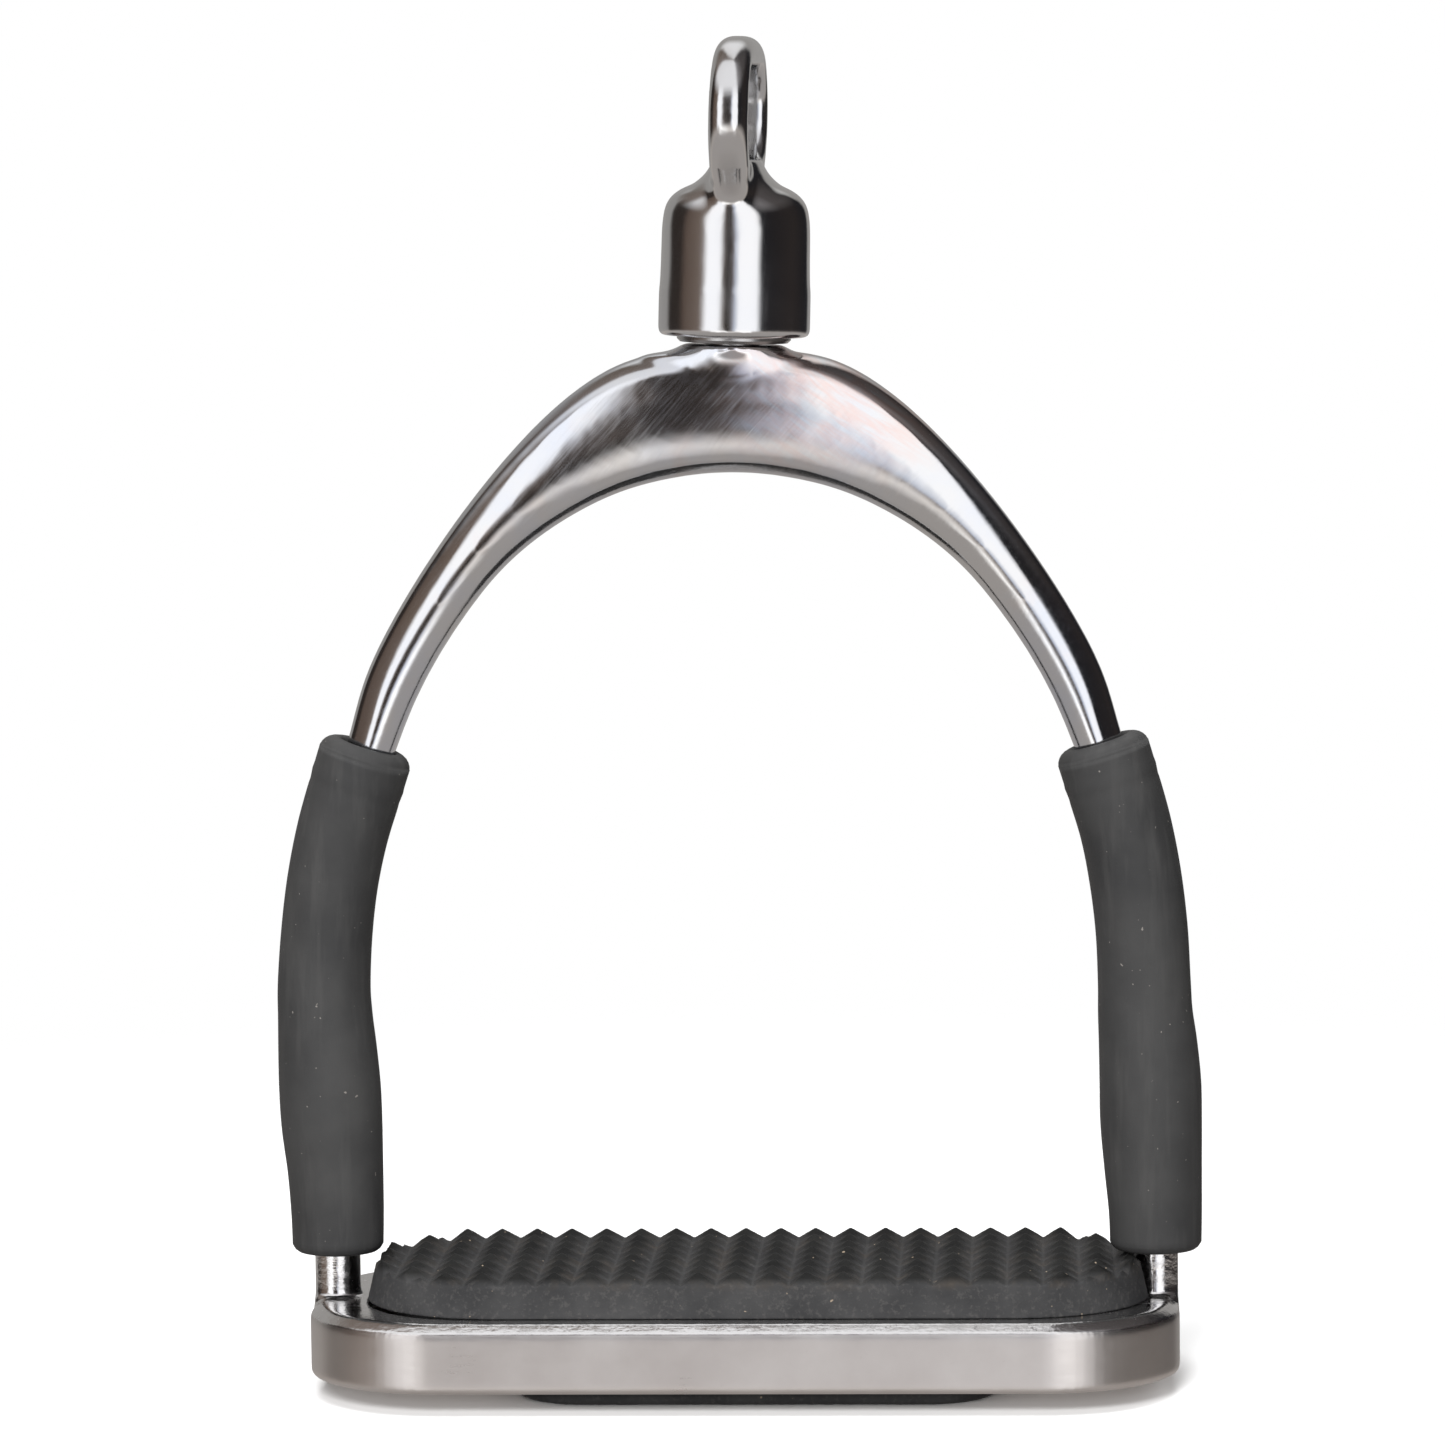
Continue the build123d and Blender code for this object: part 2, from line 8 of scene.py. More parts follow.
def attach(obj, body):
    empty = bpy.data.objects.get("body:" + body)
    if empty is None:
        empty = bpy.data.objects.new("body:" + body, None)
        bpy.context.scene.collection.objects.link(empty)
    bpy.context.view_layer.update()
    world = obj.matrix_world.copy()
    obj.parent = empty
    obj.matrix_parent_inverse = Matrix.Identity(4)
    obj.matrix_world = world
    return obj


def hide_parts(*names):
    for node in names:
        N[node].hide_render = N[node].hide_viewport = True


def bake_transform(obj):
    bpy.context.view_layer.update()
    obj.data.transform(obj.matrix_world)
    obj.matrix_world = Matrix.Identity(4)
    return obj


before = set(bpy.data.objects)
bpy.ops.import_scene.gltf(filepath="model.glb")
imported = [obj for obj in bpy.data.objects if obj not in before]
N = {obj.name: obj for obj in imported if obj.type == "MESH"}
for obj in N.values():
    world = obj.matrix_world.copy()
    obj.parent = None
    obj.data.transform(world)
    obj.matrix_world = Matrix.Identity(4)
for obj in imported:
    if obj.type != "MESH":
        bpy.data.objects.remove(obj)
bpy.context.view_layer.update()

LIFT = 0.0011          # the sleeve heights below are counted from this far above the ground


# ------------------------------------------------------------------ node helpers
class Nodes:
    """A material's node tree, with short ways to add and join nodes."""

    def __init__(self, name):
        self.mat = bpy.data.materials.new(name)
        self.mat.use_nodes = True
        self.t = self.mat.node_tree
        self.t.nodes.clear()
        self.out = self.t.nodes.new("ShaderNodeOutputMaterial")
        self.bsdf = self.t.nodes.new("ShaderNodeBsdfPrincipled")
        self.t.links.new(self.bsdf.outputs[0], self.out.inputs[0])
        self.coord = self.t.nodes.new("ShaderNodeTexCoord").outputs["Object"]

    def put(self, socket, value):
        if isinstance(value, bpy.types.NodeSocket):
            self.t.links.new(value, socket)
        else:
            socket.default_value = value

    def node(self, kind, out=0, props=None, **inputs):
        n = self.t.nodes.new(kind)
        for k, v in (props or {}).items():
            setattr(n, k, v)
        for k, v in inputs.items():
            key = int(k[1:]) if k[0] == "i" and k[1:].isdigit() else k.replace("_", " ")
            self.put(n.inputs[key], v)
        return n.outputs[out]

    def place(self, scale=(1, 1, 1), turn=(0, 0, 0), move=(0, 0, 0), vector=None):
        return self.node("ShaderNodeMapping", props={"vector_type": "TEXTURE"}, Vector=vector or self.coord,
                         Location=move, Rotation=[math.radians(a) for a in turn], Scale=[1.0 / a for a in scale])

    def noise(self, scale, detail=4.0, rough=0.55, vector=None, distortion=0.0, out=0):
        return self.node("ShaderNodeTexNoise", out=out, Vector=vector or self.coord, Scale=scale, Detail=detail,
                         Roughness=rough, Distortion=distortion)

    def ramp(self, fac, stops, mode="LINEAR"):
        n = self.t.nodes.new("ShaderNodeValToRGB")
        n.color_ramp.interpolation = mode
        e = n.color_ramp.elements
        while len(e) < len(stops):
            e.new(0.5)
        for slot, (p, c) in zip(e, stops):
            slot.position = p
            slot.color = (c, c, c, 1) if isinstance(c, (int, float)) else (*c, 1)
        self.put(n.inputs[0], fac)
        return n.outputs[0]

    def math(self, op, a, b=0.0, clamp=False):
        n = self.t.nodes.new("ShaderNodeMath")
        n.operation, n.use_clamp = op, clamp
        self.put(n.inputs[0], a)
        self.put(n.inputs[1], b)
        return n.outputs[0]

    def mix(self, fac, a, b, blend="MIX"):
        n = self.t.nodes.new("ShaderNodeMix")
        n.data_type, n.blend_type = "RGBA", blend
        self.put(n.inputs[0], fac)
        for s, v in ((6, a), (7, b)):
            self.put(n.inputs[s], (*v, 1) if isinstance(v, tuple) else v)
        return n.outputs[2]

    def span(self, value, lo, hi, a=0.0, b=1.0):
        return self.node("ShaderNodeMapRange", Value=value, From_Min=lo, From_Max=hi, To_Min=a, To_Max=b)

    def axis(self, which):
        return self.node("ShaderNodeSeparateXYZ", out="XYZ".index(which), i0=self.coord)

    def bump(self, height, distance, strength=1.0, normal=None):
        n = self.t.nodes.new("ShaderNodeBump")
        n.inputs["Strength"].default_value = strength
        n.inputs["Distance"].default_value = distance
        self.put(n.inputs["Height"], height)
        if normal is not None:
            self.put(n.inputs["Normal"], normal)
        return n.outputs[0]


def polished_steel(name, tint=(0.70, 0.695, 0.69), rough=0.09, scratch_turn=(0, 42, 0), scratches=1.0, tints_and_painted_reflection=True):
    """Mirror-polished stainless steel with hairline scratches, a soft waviness, faint finger tints and a painted rosy
    reflection.
    """
    m = Nodes(name)
    hair = m.noise(1.0, 3.0, 0.6, m.place((2600, 900, 120), scratch_turn))
    hair2 = m.noise(1.0, 2.0, 0.5, m.place((150, 700, 3100), (0, scratch_turn[1] + 14, 0)))
    cloud = m.noise(60.0, 3.0, 0.5)
    patch = m.ramp(m.noise(38.0, 5.0, 0.6, m.place(move=(0.3, 0.1, 0.7))), [(0.42, 0.0), (0.66, 1.0)])
    blue = m.mix(m.math("MULTIPLY", patch, 0.6 if tints_and_painted_reflection else 0.15), tint, (0.60, 0.65, 0.76))
    rose = m.ramp(m.noise(95.0, 4.0, 0.6, m.place(move=(0.9, 0.4, 0.2))), [(0.55, 0.0), (0.72, 1.0)])
    colour = m.mix(m.math("MULTIPLY", rose, 0.25 if tints_and_painted_reflection else 0.1), blue, (0.76, 0.60, 0.54))
    if tints_and_painted_reflection:             # painted reflection: thin rosy streaks over the crown's +X shoulder
        where = m.math("MULTIPLY", m.span(m.axis("X"), -0.004, 0.010), m.span(m.axis("X"), 0.040, 0.026))
        where = m.math("MULTIPLY", where, m.span(m.axis("Z"), 0.142, 0.150))
        painted_rosy_streak = m.ramp(m.noise(1.0, 3.0, 0.6, m.place((330, 90, 60), (0, 125, 0)), 0.3),
                      [(0.40, 0.0), (0.52, 0.55), (0.62, 0.0)])
        # the crown's pink reflection, painted into the steel's colour as rosy streaks
        colour = m.mix(m.math("MULTIPLY", where, painted_rosy_streak), colour, (0.76, 0.52, 0.45))
    m.put(m.bsdf.inputs["Base Color"], colour)
    m.bsdf.inputs["Metallic"].default_value = 1.0
    lines = m.ramp(hair, [(0.45, 0.0), (0.75, 1.0)])
    r = m.math("ADD", m.span(cloud, 0.3, 0.7, rough * 0.75, rough * 1.35), m.math("MULTIPLY", lines, 0.07 * scratches))
    r = m.math("ADD", r, m.math("MULTIPLY", patch, 0.05))
    m.put(m.bsdf.inputs["Roughness"], r)
    height = m.math("ADD", m.math("MULTIPLY", lines, 0.5), m.math("MULTIPLY", m.ramp(hair2, [(0.6, 0.0), (0.8, 1.0)]), 0.4))
    fine = m.bump(height, 0.000006, 0.30 * scratches)
    wave = m.bump(m.noise(140.0, 1.5, 0.4), 0.00005, 0.30, fine)
    m.put(m.bsdf.inputs["Normal"], wave)
    return m.mat


def satin_steel(name):
    """The tread frame: warm satin sides with a polished, dinged top bevel."""
    m = Nodes(name)
    z = m.axis("Z")
    top = m.span(z, 0.0126, 0.0129)
    grain = m.noise(1.0, 3.0, 0.65, m.place((240, 240, 2600)))
    mottle = m.noise(70.0, 5.0, 0.6)
    specks = m.ramp(m.noise(900.0, 2.0, 0.5), [(0.70, 0.0), (0.80, 1.0)])
    base = m.mix(m.span(mottle, 0.35, 0.7), (0.68, 0.64, 0.615), (0.75, 0.715, 0.69))
    base = m.mix(top, base, (0.78, 0.77, 0.76))
    base = m.mix(m.math("MULTIPLY", specks, 0.08), base, (0.40, 0.35, 0.31))
    m.put(m.bsdf.inputs["Base Color"], base)
    m.bsdf.inputs["Metallic"].default_value = 1.0
    side_r = m.math("ADD", m.span(grain, 0.3, 0.7, 0.29, 0.345), m.span(mottle, 0.3, 0.7, -0.03, 0.05))
    drag = m.noise(1.0, 3.0, 0.6, m.place((170, 900, 900)))
    top_r = m.math("ADD", m.span(m.noise(400.0, 3.0, 0.6), 0.3, 0.7, 0.10, 0.20), m.span(drag, 0.5, 0.7, 0.0, 0.14))
    n = m.t.nodes.new("ShaderNodeMix")
    m.put(n.inputs[0], top)
    m.put(n.inputs[2], side_r)
    m.put(n.inputs[3], top_r)
    m.put(m.bsdf.inputs["Roughness"], n.outputs[0])
    scuffs = m.ramp(m.noise(1.0, 2.0, 0.5, m.place((900, 900, 160), (0, 35, 0))), [(0.66, 0.0), (0.76, 1.0)])
    lines = m.bump(scuffs, 0.000003, 0.06)
    knocks = m.math("MULTIPLY", m.math("ADD", drag, m.noise(700.0, 2.0, 0.6)), m.span(top, 0.0, 1.0, 0.0, 1.0))
    dings = m.bump(knocks, 0.00011, 0.5, lines)
    m.put(m.bsdf.inputs["Normal"], dings)
    return m.mat


def machined(name, tint, rough=0.28):
    m = Nodes(name)
    grain = m.noise(1.0, 2.0, 0.6, m.place((300, 300, 4000)))
    cloud = m.noise(120.0, 4.0, 0.6)
    dark = tuple(c * 0.72 for c in tint)
    m.put(m.bsdf.inputs["Base Color"], m.mix(m.span(cloud, 0.3, 0.75), tint, dark))
    m.bsdf.inputs["Metallic"].default_value = 1.0
    m.put(m.bsdf.inputs["Roughness"], m.span(grain, 0.3, 0.7, rough * 0.8, rough * 1.3))
    m.put(m.bsdf.inputs["Normal"], m.bump(grain, 0.00002, 0.5))
    return m.mat


def sleeve_rubber(name):
    """Smooth matt charcoal tubing with a fine skin, handling marks and dust specks."""
    m = Nodes(name)
    soft = m.noise(55.0, 4.0, 0.55)
    skin = m.noise(2600.0, 3.0, 0.6)
    streak = m.noise(1.0, 3.0, 0.6, m.place((420, 420, 45)))
    base = m.mix(m.span(soft, 0.3, 0.7), (0.028, 0.028, 0.0285), (0.047, 0.0465, 0.046))
    base = m.mix(m.math("MULTIPLY", m.ramp(streak, [(0.5, 0.0), (0.75, 1.0)]), 0.5), base, (0.058, 0.057, 0.056))
    dust = m.ramp(m.noise(1300.0, 1.0, 0.4), [(0.775, 0.0), (0.80, 1.0)])
    base = m.mix(m.math("MULTIPLY", dust, 0.55), base, (0.26, 0.24, 0.22))
    m.put(m.bsdf.inputs["Base Color"], base)
    m.put(m.bsdf.inputs["Roughness"], m.math("ADD", m.span(soft, 0.3, 0.7, 0.50, 0.60), m.span(skin, 0.3, 0.7, -0.03, 0.03)))
    m.bsdf.inputs["Specular IOR Level"].default_value = 0.22
    b = m.bump(skin, 0.00002, 0.6)
    b = m.bump(streak, 0.00006, 0.25, b)
    b = m.bump(m.noise(1.0, 1.5, 0.4, m.place((95, 95, 60))), 0.0012, 0.5, b)
    m.put(m.bsdf.inputs["Normal"], b)
    return m.mat


def pad_rubber(name):
    """Moulded black rubber: grainy dusty wall, darker studs, warm dust caught between them."""
    m = Nodes(name)
    z = m.axis("Z")
    high = m.span(z, 0.0191, 0.0203)
    grit = m.noise(1250.0, 4.0, 0.7)
    cloud = m.noise(90.0, 5.0, 0.6)
    wall = m.mix(m.span(cloud, 0.3, 0.7), (0.026, 0.026, 0.027), (0.048, 0.0475, 0.048))
    wall = m.mix(m.math("MULTIPLY", m.ramp(grit, [(0.52, 0.0), (0.68, 1.0)]), 0.42), wall, (0.085, 0.081, 0.078))
    stud = m.mix(m.span(cloud, 0.3, 0.7), (0.007, 0.007, 0.007), (0.014, 0.014, 0.0135))
    base = m.mix(high, wall, stud)
    dirt = m.math("MULTIPLY", m.ramp(m.noise(160.0, 5.0, 0.7, m.place(move=(0.5, 0.5, 0.5))), [(0.5, 0.0), (0.75, 1.0)]),
                  m.math("MULTIPLY", m.span(z, 0.0206, 0.0193), m.span(z, 0.0183, 0.0191)))
    base = m.mix(m.math("MULTIPLY", dirt, 0.5), base, (0.055, 0.043, 0.032))
    dust = m.ramp(m.noise(1150.0, 1.0, 0.4, m.place(move=(0.2, 0.8, 0.1))), [(0.785, 0.0), (0.81, 1.0)])
    base = m.mix(m.math("MULTIPLY", dust, 0.7), base, (0.30, 0.24, 0.18))
    m.put(m.bsdf.inputs["Base Color"], base)
    m.put(m.bsdf.inputs["Roughness"], m.math("ADD", m.span(high, 0, 1, 0.66, 0.50), m.span(grit, 0.3, 0.7, -0.05, 0.06)))
    m.bsdf.inputs["Specular IOR Level"].default_value = 0.10
    b = m.bump(grit, 0.00008, 0.8)
    b = m.bump(m.noise(420.0, 3.0, 0.5), 0.00012, 0.5, b)
    m.put(m.bsdf.inputs["Normal"], b)
    return m.mat


STEEL = polished_steel("polished_steel_skin")
BARREL_STEEL = polished_steel("barrel_steel_skin", rough=0.12, scratch_turn=(0, 4, 0), scratches=0.5, tints_and_painted_reflection=False)
SATIN = satin_steel("satin_steel_skin")
MACHINED = machined("machined_steel_skin", (0.60, 0.59, 0.58))
BRONZE = machined("bearing_bronze_skin", (0.66, 0.45, 0.22), 0.3)
SLEEVE = sleeve_rubber("sleeve_rubber_skin")
PAD = pad_rubber("stud_rubber_skin")


def dress(obj, mat):
    obj.data.materials.clear()
    obj.data.materials.append(mat)


for node, obj in N.items():
    if node == "arch":
        dress(obj, STEEL)
    elif node == "swivel_eye":
        dress(obj, BARREL_STEEL)
    elif node == "tread_frame":
        dress(obj, SATIN)
    elif node == "tread_pad":
        dress(obj, PAD)
    elif node == "thrust_washer":
        dress(obj, BRONZE)
    elif node.endswith("_sleeve"):
        dress(obj, SLEEVE)
    else:
        dress(obj, MACHINED)


# ------------------------------------------------------------------ sleeves
def catmull(points, t):
    """The value at t (0..1) along the points, each a tuple whose first number is its place."""
    pts = points
    u = pts[0][0] + (pts[-1][0] - pts[0][0]) * t
    for i in range(len(pts) - 1):
        if u <= pts[i + 1][0] or i == len(pts) - 2:
            break
    p0, p1, p2, p3 = pts[max(i - 1, 0)], pts[i], pts[i + 1], pts[min(i + 2, len(pts) - 1)]
    f = (u - p1[0]) / (p2[0] - p1[0])
    out = []
    for a, b, c, d in zip(p0[1:], p1[1:], p2[1:], p3[1:]):
        out.append(0.5 * (2 * b + (c - a) * f + (2 * a - 5 * b + 4 * c - d) * f * f + (3 * b - a - 3 * c + d) * f ** 3))
    return out


# run along the sleeve in mm, centre x, height, outer radius
SLEEVE_PATH = {
    "left": [(20.0, -63.81, 20.0, 7.15), (26.0, -63.8, 26.0, 7.3), (33.0, -64.02, 33.0, 7.55), (40.0, -64.44, 40.0, 7.95),
             (46.0, -64.67, 46.0, 8.0), (52.0, -64.95, 52.0, 7.75), (57.0, -65.2, 57.0, 7.45), (62.0, -65.29, 62.0, 7.3),
             (70.0, -64.75, 70.0, 7.18), (78.0, -63.71, 78.0, 7.15), (86.0, -62.02, 85.8, 7.2), (94.0, -59.68, 93.4, 7.3),
             (100.4, -57.72, 99.5, 7.35)],
    "right": [(20.0, 63.94, 20.0, 7.15), (26.0, 63.9, 26.0, 7.3), (33.0, 63.58, 33.0, 7.65), (40.0, 63.31, 40.0, 7.95),
              (46.0, 63.23, 46.0, 7.95), (52.0, 62.9, 52.0, 7.7), (57.0, 62.5, 57.0, 7.4), (62.0, 62.36, 62.0, 7.25),
              (70.0, 62.0, 70.0, 7.2), (78.0, 61.09, 78.0, 7.2), (86.0, 59.63, 85.8, 7.2), (94.0, 57.47, 93.4, 7.3),
              (100.4, 55.63, 99.5, 7.35)],
}


def sleeve_half(name, side, sign, lo, hi, closed_low, closed_high):
    path = SLEEVE_PATH[side]
    rings, seg = [], 72
    total = path[-1][0] - path[0][0]
    count = 96
    body = [path[0][0] + total * i / count for i in range(count + 1)]
    body = [u for u in body if lo + 0.05 < u < hi - 0.05]
    stations = [lo, *body, hi]

    def at(u):
        t = (u - path[0][0]) / total
        x, z, r = catmull(path, t)
        x2, z2, _ = catmull(path, min(1, t + 0.01))
        x1, z1, _ = catmull(path, max(0, t - 0.01))
        d = Vector((x2 - x1, 0, z2 - z1)).normalized()
        return Vector((x, 0, z + LIFT * 1000)), d, r

    profile = []          # (centre, tangent, radius, offset along the tangent)
    bore = 4.35
    if closed_low:        # rounded rim, starting in the bore
        c, d, r = at(lo)
        for rr, off in ((bore - 0.15, 7.0), (bore - 0.1, 2.0), (bore, 0.5), (bore + 0.25, 0.12), (bore + 0.7, 0.0),
                        (r - 1.5, 0.0), (r - 0.9, 0.14), (r - 0.42, 0.48), (r - 0.12, 0.95)):
            profile.append((c + d * off, d, rr))
        stations = [u for u in stations if u > lo + 1.5]
    if closed_high:
        stations = [u for u in stations if u < hi - 2.5]
    for u in stations:
        c, d, r = at(u)
        # a faint raised bead below the top rim and a hint of the joint's hardware underneath
        r += 0.10 * math.exp(-((u - 94.3) / 0.55) ** 2) - 0.06 * math.exp(-((u - 93.0) / 0.8) ** 2)
        profile.append((c, d, r))
    if closed_high:
        c, d, r = at(hi)
        for rr, off in ((r - 0.04, -2.0), (r - 0.20, -1.45), (r - 0.50, -0.95), (r - 0.95, -0.5), (r - 1.5, -0.2), (r - 2.1, -0.03),
                        (bore + 0.3, -0.08), (bore, -0.45), (bore - 0.2, -1.6), (bore - 0.2, -6.0)):
            profile.append((c + d * off, d, rr))
    verts, faces = [], []
    for c, d, r in profile:
        side_v = Vector((0, 1, 0))
        other = d.cross(side_v).normalized()
        for k in range(seg):
            a = 2 * math.pi * k / seg
            # tubing isn't perfectly round: it is pinched a little fore and aft
            rr = r * (1 + 0.008 * math.cos(2 * a))
            verts.append((c + side_v * (rr * math.cos(a)) + other * (rr * math.sin(a))) * 0.001)
    for i in range(len(profile) - 1):
        for k in range(seg):
            a, b = i * seg + k, i * seg + (k + 1) % seg
            faces.append((a, b, b + seg, a + seg))
    mesh = bpy.data.meshes.new(name)
    mesh.from_pydata(verts, [], faces)
    mesh.update()
    bm = bmesh.new()
    bm.from_mesh(mesh)
    bmesh.ops.recalc_face_normals(bm, faces=bm.faces)
    bm.to_mesh(mesh)
    bm.free()
    for p in mesh.polygons:
        p.use_smooth = True
    obj = bpy.data.objects.new(name, mesh)
    bpy.context.scene.collection.objects.link(obj)
    mesh.materials.append(SLEEVE)
    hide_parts(f"{side}_sleeve")
    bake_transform(obj)
    return obj


for side, sign in (("left", -1), ("right", 1)):
    sleeve_half(f"{side}_sleeve_lower", side, sign, 20.0, 45.0, True, False)
    sleeve_half(f"{side}_sleeve_upper", side, sign, 45.0, 100.4, False, True)

# ------------------------------------------------------------------ arch and eye: cast, ground and buffed
def settled(o):
    """Applies the object's modifiers to its own mesh."""
    g = bpy.context.evaluated_depsgraph_get()
    made = bpy.data.meshes.new_from_object(o.evaluated_get(g), depsgraph=g)
    o.modifiers.clear()
    o.data = made
    return made


def buffed(node, voxel, rounds, mat, body, name, melt=None):
    """The CAD shape with its edges and joins worn soft, as casting, grinding and buffing leave them."""
    o = bpy.data.objects.new(name, N[node].data.copy())
    bpy.context.scene.collection.objects.link(o)
    r = o.modifiers.new("remesh", "REMESH")
    r.mode, r.voxel_size, r.use_smooth_shade = "VOXEL", voxel, True
    k = o.modifiers.new("smooth", "SMOOTH")
    k.factor, k.iterations = 0.5, rounds
    made = settled(o)
    if melt:              # a band of heights where the joins were filed right down
        lo, hi, more = melt
        group = o.vertex_groups.new(name="melt")
        for v in made.vertices:
            w = 1 - ((v.co.z - (lo + hi) / 2) / ((hi - lo) / 2)) ** 2
            w *= min(1.0, max(0.15, (abs(v.co.y) - 0.005) / 0.003))
            if w > 0:
                group.add([v.index], w, "REPLACE")
        k = o.modifiers.new("melt", "SMOOTH")
        k.factor, k.iterations, k.vertex_group = 0.5, more, "melt"
        made = settled(o)
        o.vertex_groups.clear()
    made.materials.clear()
    made.materials.append(mat)
    for p in made.polygons:
        p.use_smooth = True
    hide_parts(node)
    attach(o, body)
    return o


buffed("arch", 0.00035, 26, STEEL, "arch", "arch_buffed")
buffed("swivel_eye", 0.00022, 36, BARREL_STEEL, "swivel", "swivel_eye_buffed",
       melt=(0.1765, 0.1895, 420))
buffed("tread_frame", 0.00032, 14, SATIN, "tread", "tread_frame_buffed")

# ------------------------------------------------------------------ tread pad
src = N["tread_pad"]
mesh = src.data.copy()
pad = bpy.data.objects.new("tread_pad_moulded", mesh)
bpy.context.scene.collection.objects.link(pad)
rm = pad.modifiers.new("remesh", "REMESH")
rm.mode, rm.voxel_size, rm.use_smooth_shade = "VOXEL", 0.00028, True
sm = pad.modifiers.new("smooth", "SMOOTH")
sm.factor, sm.iterations = 0.5, 2
dg = bpy.context.evaluated_depsgraph_get()
done = bpy.data.meshes.new_from_object(pad.evaluated_get(dg), depsgraph=dg)
pad.modifiers.clear()
pad.data = done
pad.data.materials.clear()
pad.data.materials.append(PAD)
for p in pad.data.polygons:
    p.use_smooth = True
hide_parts("tread_pad")
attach(pad, "tread")

# ------------------------------------------------------------------ stage, light and camera
def plain(name, colour, rough=0.8):
    m = bpy.data.materials.new(name)
    m.use_nodes = True
    b = m.node_tree.nodes["Principled BSDF"]
    b.inputs["Base Color"].default_value = (*colour, 1)
    b.inputs["Roughness"].default_value = rough
    return m


def plane(name, size, place, turn, mat):
    h = size / 2
    me = bpy.data.meshes.new(name)
    me.from_pydata([(-h, -h, 0), (h, -h, 0), (h, h, 0), (-h, h, 0)], [], [(0, 1, 2, 3)])
    o = bpy.data.objects.new(name, me)
    o.location, o.rotation_euler = place, [math.radians(a) for a in turn]
    me.materials.append(mat)
    bpy.context.scene.collection.objects.link(o)
    return o


def fading_paper(name, colour, near, far):
    """Matt paper that thins out to nothing between two distances from the origin."""
    m = bpy.data.materials.new(name)
    m.use_nodes = True
    t = m.node_tree
    b = t.nodes["Principled BSDF"]
    b.inputs["Base Color"].default_value = (*colour, 1)
    b.inputs["Roughness"].default_value = 0.9
    b.inputs["Specular IOR Level"].default_value = 0.1
    length = t.nodes.new("ShaderNodeVectorMath")
    length.operation = "LENGTH"
    t.links.new(t.nodes.new("ShaderNodeTexCoord").outputs["Object"], length.inputs[0])
    span = t.nodes.new("ShaderNodeMapRange")
    span.interpolation_type = "SMOOTHSTEP"
    span.inputs["From Min"].default_value, span.inputs["From Max"].default_value = near, far
    span.inputs["To Min"].default_value, span.inputs["To Max"].default_value = 1.0, 0.0
    t.links.new(length.outputs["Value"], span.inputs["Value"])
    t.links.new(span.outputs[0], b.inputs["Alpha"])
    return m


floor = plane("floor", 3.0, (0, 0, -0.00005), (0, 0, 0), fading_paper("floor_paper", (0.90, 0.90, 0.90), 0.16, 0.42))
floor.visible_glossy = False
floor.visible_diffuse = False

world = bpy.data.worlds.new("studio")
bpy.context.scene.world = world
world.cycles.sampling_method = "NONE"
world.use_nodes = True
wt = world.node_tree
wt.nodes.clear()


def wn(kind, **props):
    n = wt.nodes.new(kind)
    for k, v in props.items():
        setattr(n, k, v)
    return n


def wl(a, b):
    wt.links.new(a, b)


def wmath(op, a, b=None):
    n = wn("ShaderNodeMath", operation=op)
    for i, v in enumerate((a, b)):
        if v is None:
            continue
        if isinstance(v, bpy.types.NodeSocket):
            wl(v, n.inputs[i])
        else:
            n.inputs[i].default_value = v
    return n.outputs[0]


def wramp(fac, stops):
    n = wn("ShaderNodeValToRGB")
    e = n.color_ramp.elements
    while len(e) < len(stops):
        e.new(0.5)
    for slot, (p, c) in zip(e, stops):
        slot.position = p
        slot.color = (c, c, c, 1) if isinstance(c, (int, float)) else (*c, 1)
    wl(fac, n.inputs[0])
    return n.outputs[0]


def wmix(fac, a, b):
    n = wn("ShaderNodeMix", data_type="RGBA")
    for i, v in ((0, fac), (6, a), (7, b)):
        if isinstance(v, bpy.types.NodeSocket):
            wl(v, n.inputs[i])
        else:
            n.inputs[i].default_value = v if i == 0 else (*v, 1)
    return n.outputs[2]


direction = wn("ShaderNodeTexCoord").outputs["Generated"]
sep = wn("ShaderNodeSeparateXYZ")
wl(direction, sep.inputs[0])
dx, dy, dz = sep.outputs
# azimuth seen from the object: 0.5 towards the camera, 0.25 to its left, 0.75 to its right
az = wmath("ADD", wmath("DIVIDE", wmath("ARCTAN2", dx, wmath("MULTIPLY", dy, -1.0)), 2 * math.pi), 0.5)


def deg(a):
    return 0.5 + a / 360.0


BROWN, DARK, BLACK, WHITE = (0.13, 0.095, 0.078), (0.035, 0.028, 0.025), (0.016, 0.016, 0.019), (1.35, 1.36, 1.40)
DIM, SHADE = (0.36, 0.35, 0.34), (0.50, 0.46, 0.43)
# nothing in a room has a ruled edge: the bands wander a little
wander = wn("ShaderNodeTexNoise")
wl(direction, wander.inputs["Vector"])
wander.inputs["Scale"].default_value = 5.0
wander.inputs["Detail"].default_value = 3.0
az2 = wmath("ADD", az, wmath("MULTIPLY", wmath("SUBTRACT", wander.outputs[0], 0.5), 0.03))
room = wramp(az2, [
    (deg(-180), DIM), (deg(-122), DIM), (deg(-114), DARK), (deg(-92), DARK), (deg(-80), BROWN),
    (deg(-52), (0.20, 0.155, 0.13)), (deg(-42), WHITE), (deg(-21), WHITE), (deg(-15), BROWN), (deg(-12), DARK), (deg(-4), DARK),
    (deg(-1), BROWN), (deg(2), (0.60, 0.66, 0.80)), (deg(8), WHITE), (deg(36), WHITE), (deg(44), BLACK),
    (deg(100), (0.03, 0.025, 0.024)), (deg(146), BLACK), (deg(154), DIM), (deg(180), DIM),
])
height = wmath("ARCSINE", dz)
level = wmath("ADD", wmath("DIVIDE", height, math.pi), 0.5)
up = wramp(level, [(0.5, 0.0), (0.5 + 26 / 180, 0.0), (0.5 + 44 / 180, 1.0), (1.0, 1.0)])
down = wramp(level, [(0.0, 1.0), (0.5 - 17 / 180, 1.0), (0.5 - 9 / 180, 0.0), (1.0, 0.0)])
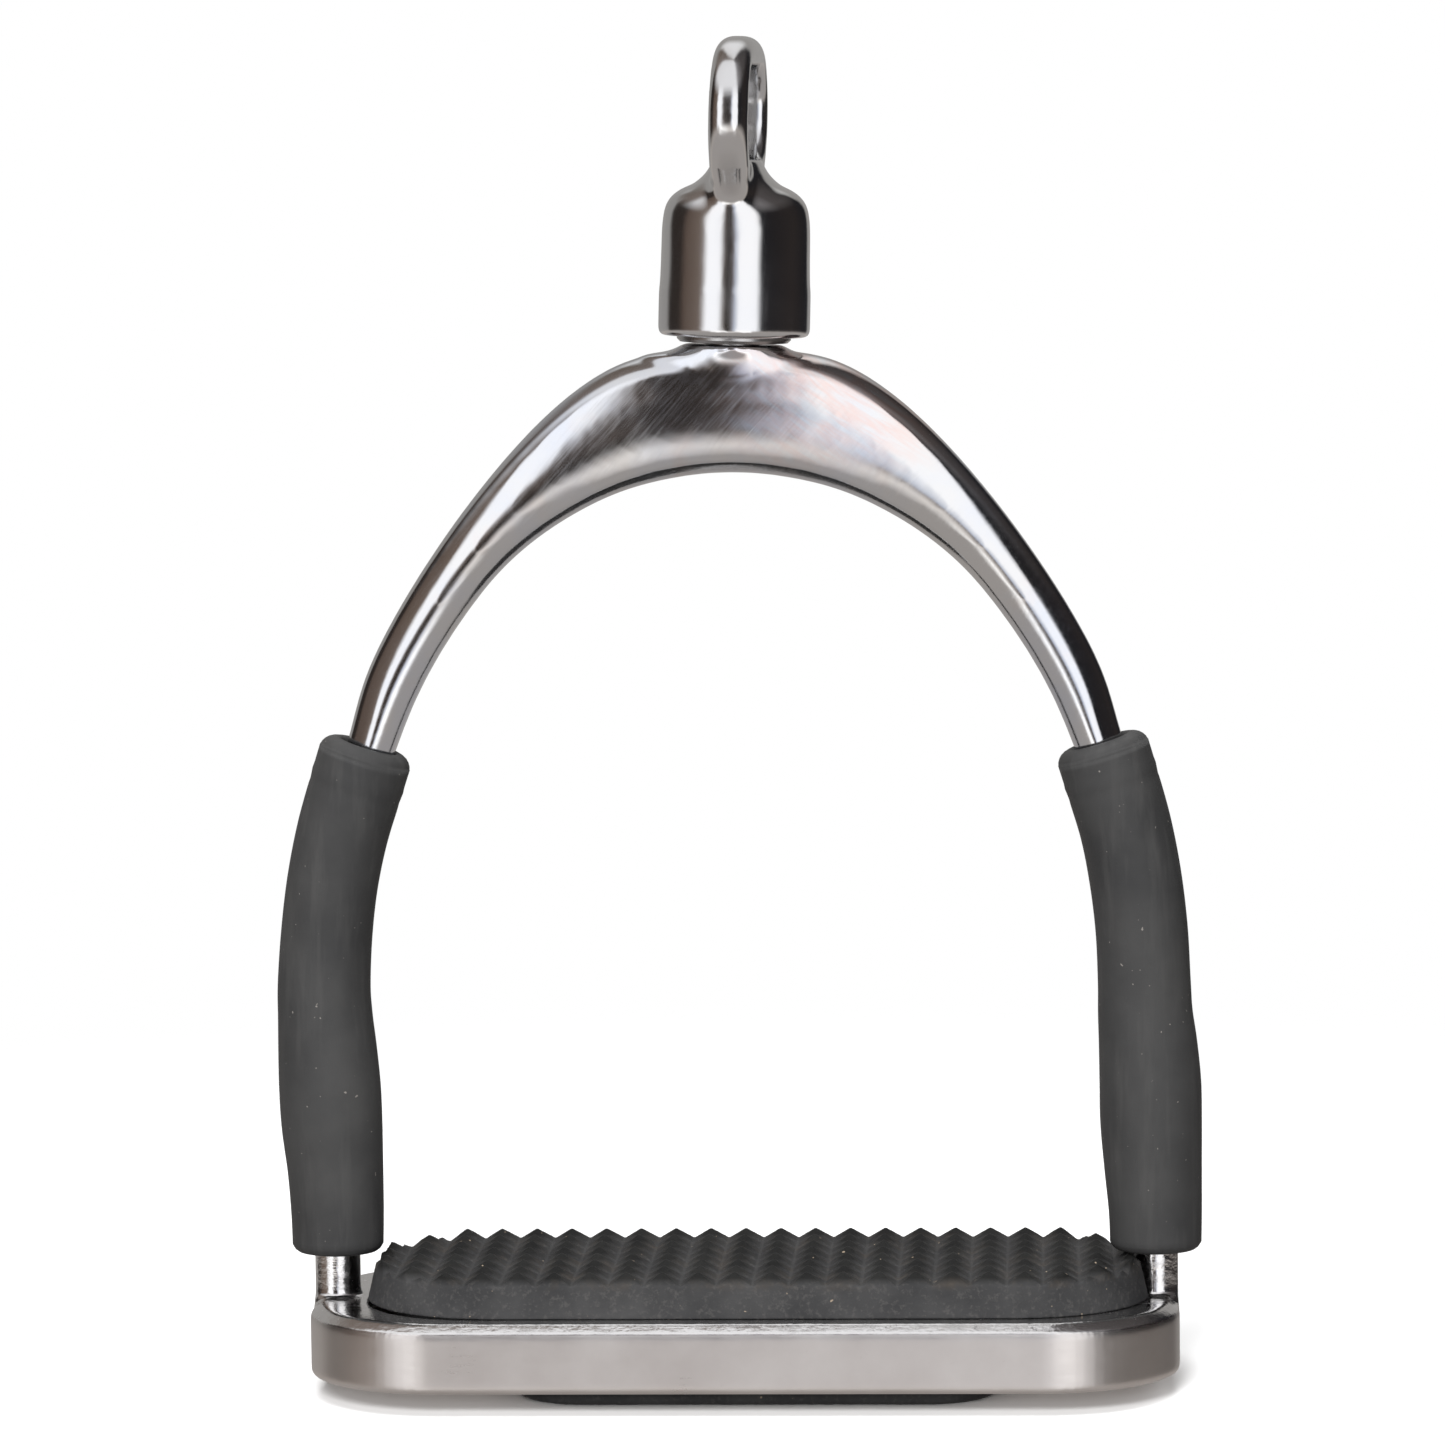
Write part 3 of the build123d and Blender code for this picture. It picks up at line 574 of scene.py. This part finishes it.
ceiling = wramp(az2, [
    (deg(-180), (1.0, 1.0, 1.02)), (deg(-158), (0.9, 0.9, 0.9)), (deg(-146), (0.16, 0.13, 0.11)), (deg(-104), (0.24, 0.20, 0.18)),
    (deg(-88), (0.95, 0.95, 0.97)), (deg(25), (1.05, 1.05, 1.08)), (deg(48), (0.30, 0.29, 0.30)), (deg(90), (0.10, 0.09, 0.09)),
    (deg(146), (0.06, 0.055, 0.055)), (deg(160), (0.9, 0.9, 0.9)), (deg(180), (1.0, 1.0, 1.02)),
])
near = wramp(az2, [
    (deg(-180), SHADE), (deg(-38), SHADE), (deg(-29), (1.9, 1.88, 1.86)), (deg(-12), (1.9, 1.88, 1.86)), (deg(-7), (1.12, 1.06, 1.02)),
    (deg(5), (1.12, 1.06, 1.02)), (deg(10), (1.9, 1.88, 1.86)), (deg(24), (1.9, 1.88, 1.86)), (deg(33), SHADE), (deg(180), SHADE),
])
far = wramp(level, [(0.0, (0.32, 0.30, 0.29)), (0.5 - 45 / 180, (0.42, 0.395, 0.38)), (1.0, (0.42, 0.395, 0.38))])
ground = wmix(wramp(level, [(0.0, 0.0), (0.5 - 24 / 180, 0.0), (0.5 - 15 / 180, 1.0), (1.0, 1.0)]), far, near)
look = wmix(down, wmix(up, room, ceiling), ground)
back = wn("ShaderNodeBackground")
wl(look, back.inputs[0])
wl(wmath("SUBTRACT", 1.0, wmath("MULTIPLY", wn("ShaderNodeLightPath").outputs["Is Diffuse Ray"], 0.82)), back.inputs[1])
plainbg = wn("ShaderNodeBackground")
plainbg.inputs[0].default_value = (1, 1, 1, 1)
plainbg.inputs[1].default_value = 1.0
lp = wn("ShaderNodeLightPath")
mixs = wn("ShaderNodeMixShader")
wl(lp.outputs["Is Camera Ray"], mixs.inputs[0])
wl(back.outputs[0], mixs.inputs[1])
wl(plainbg.outputs[0], mixs.inputs[2])
wout = wn("ShaderNodeOutputWorld")
wl(mixs.outputs[0], wout.inputs[0])


def area(name, place, aim, size, power, glossy=False):
    d = bpy.data.lights.new(name, "AREA")
    d.shape, d.size, d.energy = "DISK", size, power
    o = bpy.data.objects.new(name, d)
    o.location = place
    o.rotation_mode = "QUATERNION"
    o.rotation_quaternion = (Vector(aim) - Vector(place)).to_track_quat("-Z", "Y")
    o.visible_glossy = glossy
    bpy.context.scene.collection.objects.link(o)
    return o


area("key", (-0.22, -1.65, 0.95), (0, 0, 0.08), 0.6, 38)
area("fill", (0.9, -1.5, 0.9), (0, 0, 0.08), 1.0, 2)
area("top", (-0.1, -0.35, 2.1), (0, 0, 0), 1.6, 46)
area("front", (-0.12, -1.75, 0.4), (0, 0, 0.08), 0.4, 20)
area("rear", (1.1, 1.3, 0.9), (0, 0, 0.08), 0.9, 12)

cam = bpy.data.cameras.new("camera")
cam.sensor_width = 36.0
cam.sensor_fit = "HORIZONTAL"
cam.lens = 163.4
co = bpy.data.objects.new("camera", cam)
co.location = (0.048, -1.010, 0.2011)
yaw, pitch, roll = math.radians(2.87), math.radians(-5.5), math.radians(-0.65)
fwd = Vector((-math.sin(yaw) * math.cos(pitch), math.cos(yaw) * math.cos(pitch), math.sin(pitch)))
co.rotation_mode = "QUATERNION"
co.rotation_quaternion = fwd.to_track_quat("-Z", "Y") @ Quaternion((0, 0, 1), roll)
cam.clip_start, cam.clip_end = 0.01, 100
bpy.context.scene.collection.objects.link(co)
bpy.context.scene.camera = co
vs = bpy.context.scene.view_settings
vs.view_transform = "Standard"
vs.look = "None"
vs.exposure = 0.0
